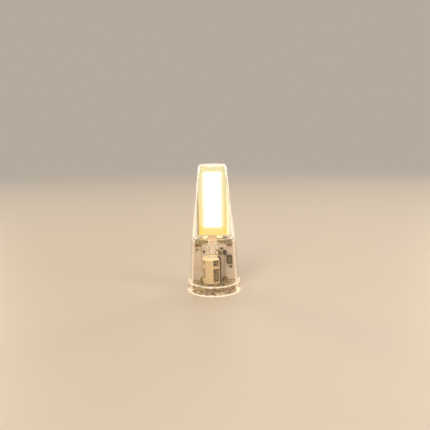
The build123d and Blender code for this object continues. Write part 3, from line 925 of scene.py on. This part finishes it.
can_place = (capacitor_x, capacitor_y)
sleeve_bore_r = sleeve_r - sleeve_t
sleeve_ceiling = capacitor_h - sleeve_t
sleeve_hole_r = 1.72
sleeve_outline = rounded([
    (sleeve_r, 0, 0.05), (sleeve_r, capacitor_h, 0.5), (sleeve_hole_r, capacitor_h, 0.04),
    (sleeve_hole_r, sleeve_ceiling, 0), (sleeve_bore_r, sleeve_ceiling, 0.44), (sleeve_bore_r, 0, 0.02)])
piece("printed_sleeve_tube", turned(raised(sleeve_outline, capacitor_foot_z), can_place), printed_sleeve,
      "sleeve_gold", "capacitor_sleeve")
can_r = sleeve_bore_r - can_slack
can_h = sleeve_ceiling - can_slack
crimp_half = 0.3
mouth_r = 2.06
mouth_depth = 0.49
can_outline = rounded([
    (0, can_h, 0), (can_r, can_h, 0.42), (can_r, crimp_z + crimp_half, 0.1),
    (can_r - crimp_depth, crimp_z, 0.12), (can_r, crimp_z - crimp_half, 0.1), (can_r, 0, 0.1),
    (mouth_r, 0, 0.05), (mouth_r, mouth_depth, 0), (0, mouth_depth, 0)], 5)
piece("aluminium_can", turned(raised(can_outline, capacitor_foot_z), can_place, closed=False), can_metal,
      "can_aluminium", "capacitor_can")
bung_r = 2.03
bung_h = mouth_depth - can_slack
bung_outline = rounded([(0, bung_h, 0), (bung_r, bung_h, 0.05), (bung_r, 0, 0.15), (0, 0, 0)])
piece("can_bung", turned(raised(bung_outline, capacitor_foot_z), can_place, 64, closed=False), bung_rubber,
      "bung_rubber", "capacitor_bung")
lead_bend = 0.26
lead_works = [
    wire((x, capacitor_y, capacitor_foot_z), (x, capacitor_y, lead_z), (x, board_front_y, lead_z),
         lead_r, lead_bend)
    for x in (capacitor_x - lead_aside, capacitor_x + lead_aside)]
piece("can_leads", joined(lead_works), bright_tin, "tinned_metal", "capacitor_leads")

pin_outline = rounded([
    (0, -pin_reach, 0), (pin_r, -pin_reach, 0.28), (pin_r, 0, 0), (collar_r, 0, 0.03),
    (collar_r, collar_t, 0.03), (pin_tail_r, collar_t, 0.03), (pin_tail_r, pin_tail_h, 0.12),
    (0, pin_tail_h, 0)])
drop_top_z = 3.5
drop_outline = rounded([
    (0, pin_solder_foot_z, 0), (pin_solder_r, pin_solder_foot_z, 0.3), (0.82, pin_solder_waist_z, 0.5),
    (0.6, 3.25, 0.3), (0.3, drop_top_z, 0.1), (0, drop_top_z, 0)])
for side, x in pin_places.items():
    piece(f"plated_pin_{side}", turned(pin_outline, (x, 0), 64, closed=False), pin_plating, "pin_metal",
          f"contact_pin_{side}")
    drop_work = unevened(turned(drop_outline, (x, 0), 40, closed=False), 0.14, 2.2, x)
    for vert in drop_work.verts:
        vert.co.y = min(vert.co.y, board_front_y - 0.01)
    piece(f"pin_solder_drop_{side}", drop_work, solder_painted_olive, "solder", f"pin_solder_{side}", sharp=70)


def solder_dab(x, z, radius, proud, seed):
    """Dab of solder on the board's front face, widest at the board."""
    dab = rounded([
        (0, 0, 0), (radius, 0, 0), (radius * 0.92, proud * 0.6, 0.12), (radius * 0.6, proud, 0.18),
        (0, proud, 0)], 5)
    work = turned(dab, (0, 0), 32, closed=False)
    unevened(work, 0.1, 3.0, seed, keep=lambda place: place.z < 0.01)
    work.transform(Matrix.Translation((x, board_front_y - 0.005, z)) @ Matrix.Rotation(pi / 2, 4, "X"))
    return work


tongue_dabs = [
    solder_dab(tongue_x + side * tongue_joint_aside, z, 0.44, 1.25, z + side)
    for side in (-1, 1) for z in tongue_joint_z]
piece("tongue_solder_dabs", joined(tongue_dabs), solder_painted_white, "solder", "tongue_solder", sharp=70)
lead_dabs = [solder_dab(capacitor_x + side * lead_aside, lead_z, 0.5, 0.5, side) for side in (-1, 1)]
piece("lead_solder_dabs", joined(lead_dabs), solder_painted_olive, "solder", "lead_solder", sharp=70)

moulded = {
    "bridge_rectifier": (chip_black, "chip_black", 0.12), "driver_chip": (chip_black, "chip_black", 0.08),
    "freewheel_diode": (chip_black, "chip_black", 0.06),
    "rectifier_leads": (bright_tin, "tinned_metal", 0.04),
    "driver_chip_leads": (bright_tin, "tinned_metal", 0.03),
    "diode_leads": (bright_tin, "tinned_metal", 0.03),
    "inductor_frame": (ferrite, "ferrite", 0.08), "inductor_core": (drum_ferrite, "drum_ferrite", 0.03),
    "chip_end_caps": (bright_tin, "tinned_metal", 0.03)}
moulded |= {f"chip_resistor_{number}": (chip_black, "chip_black", 0.03) for number in (1, 2, 3, 4)}
moulded |= {f"ceramic_capacitor_{number}": (chip_ceramic, "chip_ceramic", 0.04) for number in (1, 2, 3)}
for node, (finish, slot, bevel) in moulded.items():
    piece(f"{node}_shaped", softened(node, bevel), finish, slot, node)
piece("wound_coil", coil(4.35, board_front_y - 0.55, 8.45, copper_wire), copper_wire, "copper_wire",
      "inductor_winding", sharp=60)


# Floor, light and camera

def seen_directly(tree):
    """1 for rays that show the background: straight, mirrored or through glass."""
    path = add(tree, "LightPath").outputs
    return greatest(tree, path["Is Camera Ray"], path["Is Glossy Ray"], path["Is Transmission Ray"])


backdrop = colour(182, 171, 158)
floor_finish, tree, shader, output = new_finish("studio_floor")
place = place_in_mm(tree)
distance = add(tree, "VectorMath", {0: place}, operation="LENGTH").outputs["Value"]
away = spread(tree, distance, 60.0, 380.0, smooth=True)
shader.inputs["Base Color"].default_value = colour(226, 208, 186)
shader.inputs["Roughness"].default_value = 0.45
feed(tree, shader.inputs["Normal"], bumped(tree, grain(tree, place, 0.8), 0.01))
flat = add(tree, "Emission", {"Color": backdrop})
mixed = add(tree, "MixShader", {
    0: product(tree, away, seen_directly(tree)), 1: shader.outputs[0], 2: flat.outputs[0]})
tree.links.new(mixed.outputs[0], output.inputs["Surface"])
floor_work = turned([Vector((r, 0.0)) for r in (0, 5, 40, 2000, 15000)], segments=96, closed=False)
floor_work.transform(Matrix.Scale(1 / metre, 4))
floor_mesh = bpy.data.meshes.new("studio_floor")
floor_work.to_mesh(floor_mesh)
floor_work.free()
floor_mesh.materials.append(floor_finish)
floor = bpy.data.objects.new("studio_floor", floor_mesh)
bpy.context.scene.collection.objects.link(floor)

world = bpy.data.worlds.new("studio")
bpy.context.scene.world = world
world.use_nodes = True
tree = world.node_tree
tree.nodes.clear()
ambient = add(tree, "Background", {"Color": (1.0, 0.96, 0.9, 1.0), "Strength": 0.45})
shown = add(tree, "Background", {"Color": backdrop})
mixed = add(tree, "MixShader", {0: seen_directly(tree), 1: ambient.outputs[0], 2: shown.outputs[0]})
add(tree, "OutputWorld", {"Surface": mixed.outputs[0]})


def lamp(name, place, size, power, tint, aim_z=0.017):
    """Soft rectangular lamp turned to the bulb, at a height of its axis."""
    light = bpy.data.lights.new(name, "AREA")
    light.shape = "RECTANGLE"
    light.size, light.size_y = size
    light.energy = power
    light.color = tint
    thing = bpy.data.objects.new(name, light)
    bpy.context.scene.collection.objects.link(thing)
    thing.location = place
    thing.rotation_euler = (Vector((0, 0, aim_z)) - Vector(place)).to_track_quat("-Z", "Y").to_euler()


lamp("key_lamp", (-0.16, -0.36, 0.32), (0.22, 0.30), 0.95, (1.0, 0.97, 0.92))
lamp("fill_lamp", (0.36, -0.18, 0.22), (0.16, 0.30), 0.4, (1.0, 0.95, 0.88))
lamp("back_lamp", (0.10, 0.40, 0.30), (0.30, 0.12), 0.3, (1.0, 0.97, 0.93))
for side, x in (("left", -0.25), ("right", 0.25)):
    lamp(f"{side}_edge_lamp", (x, 0.25, 0.155), (0.12, 0.30), 0.34, (1.0, 0.9, 0.76), aim_z=0.155)

camera_lens = 42.5
camera_place = (0.000536, -0.13707, 0.04712)
camera_tilt = Matrix.Rotation(radians(79.2), 3, "X")
camera_roll = Matrix.Rotation(radians(-1.0), 3, "Z")
camera_data = bpy.data.cameras.new("camera")
camera_data.sensor_width = 36.0
camera_data.lens = camera_lens
camera_data.clip_start = 0.002
camera = bpy.data.objects.new("camera", camera_data)
bpy.context.scene.collection.objects.link(camera)
camera.location = camera_place
camera.rotation_euler = (camera_tilt @ camera_roll).to_euler()
bpy.context.scene.camera = camera
bpy.context.scene.view_settings.view_transform = "Standard"
